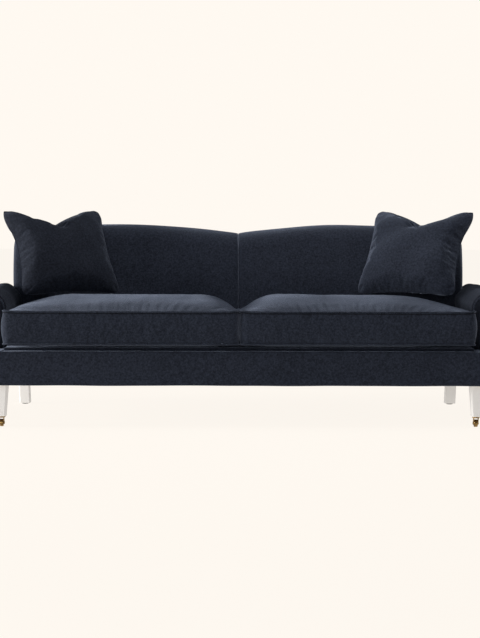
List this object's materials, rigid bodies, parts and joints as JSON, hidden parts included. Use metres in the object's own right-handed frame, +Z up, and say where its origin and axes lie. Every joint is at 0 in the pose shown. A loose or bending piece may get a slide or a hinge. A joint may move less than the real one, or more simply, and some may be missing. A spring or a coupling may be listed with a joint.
{
  "type": "sofa",
  "caption": "Upholstered sofa with low rolled arms set back on the base, a double-humped tight back, loose seat cushions, scatter pillows, white wooden legs and front casters.",
  "frame": {"origin": "on the floor, at the middle of the sofa's width and depth", "axes": "+X to the right as seen from the front, the front faces -Y, +Z up"},
  "size_m": [2.232, 0.88, 0.8728],
  "materials": {
    "frame_wood": "sawn beech, unfinished",
    "painted_leg": "satin white paint over wood",
    "spring_steel": "plain steel",
    "webbing": "woven elastic strap",
    "lining": "black bonded cloth",
    "upholstery": "matt navy woven cloth with a short nap, over wadding",
    "foam": "upholstery foam",
    "pillow_fill": "feather fill in a cotton case",
    "zip_tape": "navy tape with a nylon chain",
    "zip_metal": "dark enamel",
    "glide": "hard plastic",
    "caster_brass": "antique brass, darkened"
  },
  "bodies": {
    "sofa": {"front_seat_rail": "frame_wood", "rear_seat_rail": "frame_wood", "side_seat_rail_left": "frame_wood", "side_seat_rail_right": "frame_wood", "seat_stretchers": "frame_wood", "corner_blocks": "frame_wood", "rail_dowels": "frame_wood", "back_centre_post": "frame_wood", "crest_rail": "frame_wood", "tuck_rails": "frame_wood", "arm_front_post_left": "frame_wood", "arm_front_post_right": "frame_wood", "arm_top_rail_left": "frame_wood", "arm_top_rail_right": "frame_wood", "back_post_left": "frame_wood", "back_post_right": "frame_wood", "front_leg_left": "painted_leg", "front_leg_right": "painted_leg", "rear_leg_left": "painted_leg", "rear_leg_right": "painted_leg", "seat_springs": "spring_steel", "spring_clips": "spring_steel", "spring_tie_wires": "spring_steel", "corner_block_screws": "spring_steel", "leg_bolts": "spring_steel", "leg_nuts": "spring_steel", "back_webbing": "webbing", "spring_insulator": "lining", "dust_cover": "lining", "deck_pad": "upholstery", "front_border": "upholstery", "outside_back_panel": "upholstery", "outside_arm_panel_left": "upholstery", "outside_arm_panel_right": "upholstery", "arm_pad_left": "upholstery", "arm_pad_right": "upholstery", "arm_front_panel_left": "upholstery", "arm_front_panel_right": "upholstery", "back_pad_left": "upholstery", "back_pad_right": "upholstery", "rear_leg_glides": "glide", "caster_sockets": "caster_brass"},
    "seat_cushion_left": {"seat_cushion_left": "upholstery", "seat_core_left": "foam", "seat_zip_left": "zip_tape"},
    "seat_cushion_right": {"seat_cushion_right": "upholstery", "seat_core_right": "foam", "seat_zip_right": "zip_tape"},
    "zip_slider_left": {"seat_zip_slider_left": "zip_metal"},
    "zip_slider_right": {"seat_zip_slider_right": "zip_metal"},
    "pillow_left": {"throw_pillow_left": "upholstery", "pillow_insert_left": "pillow_fill"},
    "pillow_right": {"throw_pillow_right": "upholstery", "pillow_insert_right": "pillow_fill"},
    "caster_swivel_left": {"caster_fork_left": "caster_brass", "caster_axle_left": "caster_brass"},
    "caster_swivel_right": {"caster_fork_right": "caster_brass", "caster_axle_right": "caster_brass"},
    "caster_wheel_left": {"caster_wheel_left": "caster_brass"},
    "caster_wheel_right": {"caster_wheel_right": "caster_brass"}
  },
  "joints": [
    {"name": "caster_swivel_left", "type": "hinge", "parent": "sofa", "child": "caster_swivel_left", "pos_m": [-0.947, -0.378, 0.06], "axis": [0, 0, 1], "continuous": true},
    {"name": "caster_roll_left", "type": "hinge", "parent": "caster_swivel_left", "child": "caster_wheel_left", "pos_m": [-0.947, -0.37, 0.015], "axis": [1, 0, 0], "continuous": true},
    {"name": "cushion_lift_left", "type": "slide", "parent": "sofa", "child": "seat_cushion_left", "axis": [0, 0, 1], "range_m": [0, 0.3]},
    {"name": "zip_pull_left", "type": "slide", "parent": "seat_cushion_left", "child": "zip_slider_left", "axis": [-1, 0, 0], "range_m": [0, 0.585]},
    {"name": "pillow_lift_left", "type": "slide", "parent": "seat_cushion_left", "child": "pillow_left", "axis": [0, 0, 1], "range_m": [0, 0.33]},
    {"name": "caster_swivel_right", "type": "hinge", "parent": "sofa", "child": "caster_swivel_right", "pos_m": [0.947, -0.378, 0.06], "axis": [0, 0, 1], "continuous": true},
    {"name": "caster_roll_right", "type": "hinge", "parent": "caster_swivel_right", "child": "caster_wheel_right", "pos_m": [0.947, -0.37, 0.015], "axis": [1, 0, 0], "continuous": true},
    {"name": "cushion_lift_right", "type": "slide", "parent": "sofa", "child": "seat_cushion_right", "axis": [0, 0, 1], "range_m": [0, 0.3]},
    {"name": "zip_pull_right", "type": "slide", "parent": "seat_cushion_right", "child": "zip_slider_right", "axis": [1, 0, 0], "range_m": [0, 0.585]},
    {"name": "pillow_lift_right", "type": "slide", "parent": "seat_cushion_right", "child": "pillow_right", "axis": [0, 0, 1], "range_m": [0, 0.33]}
  ]
}
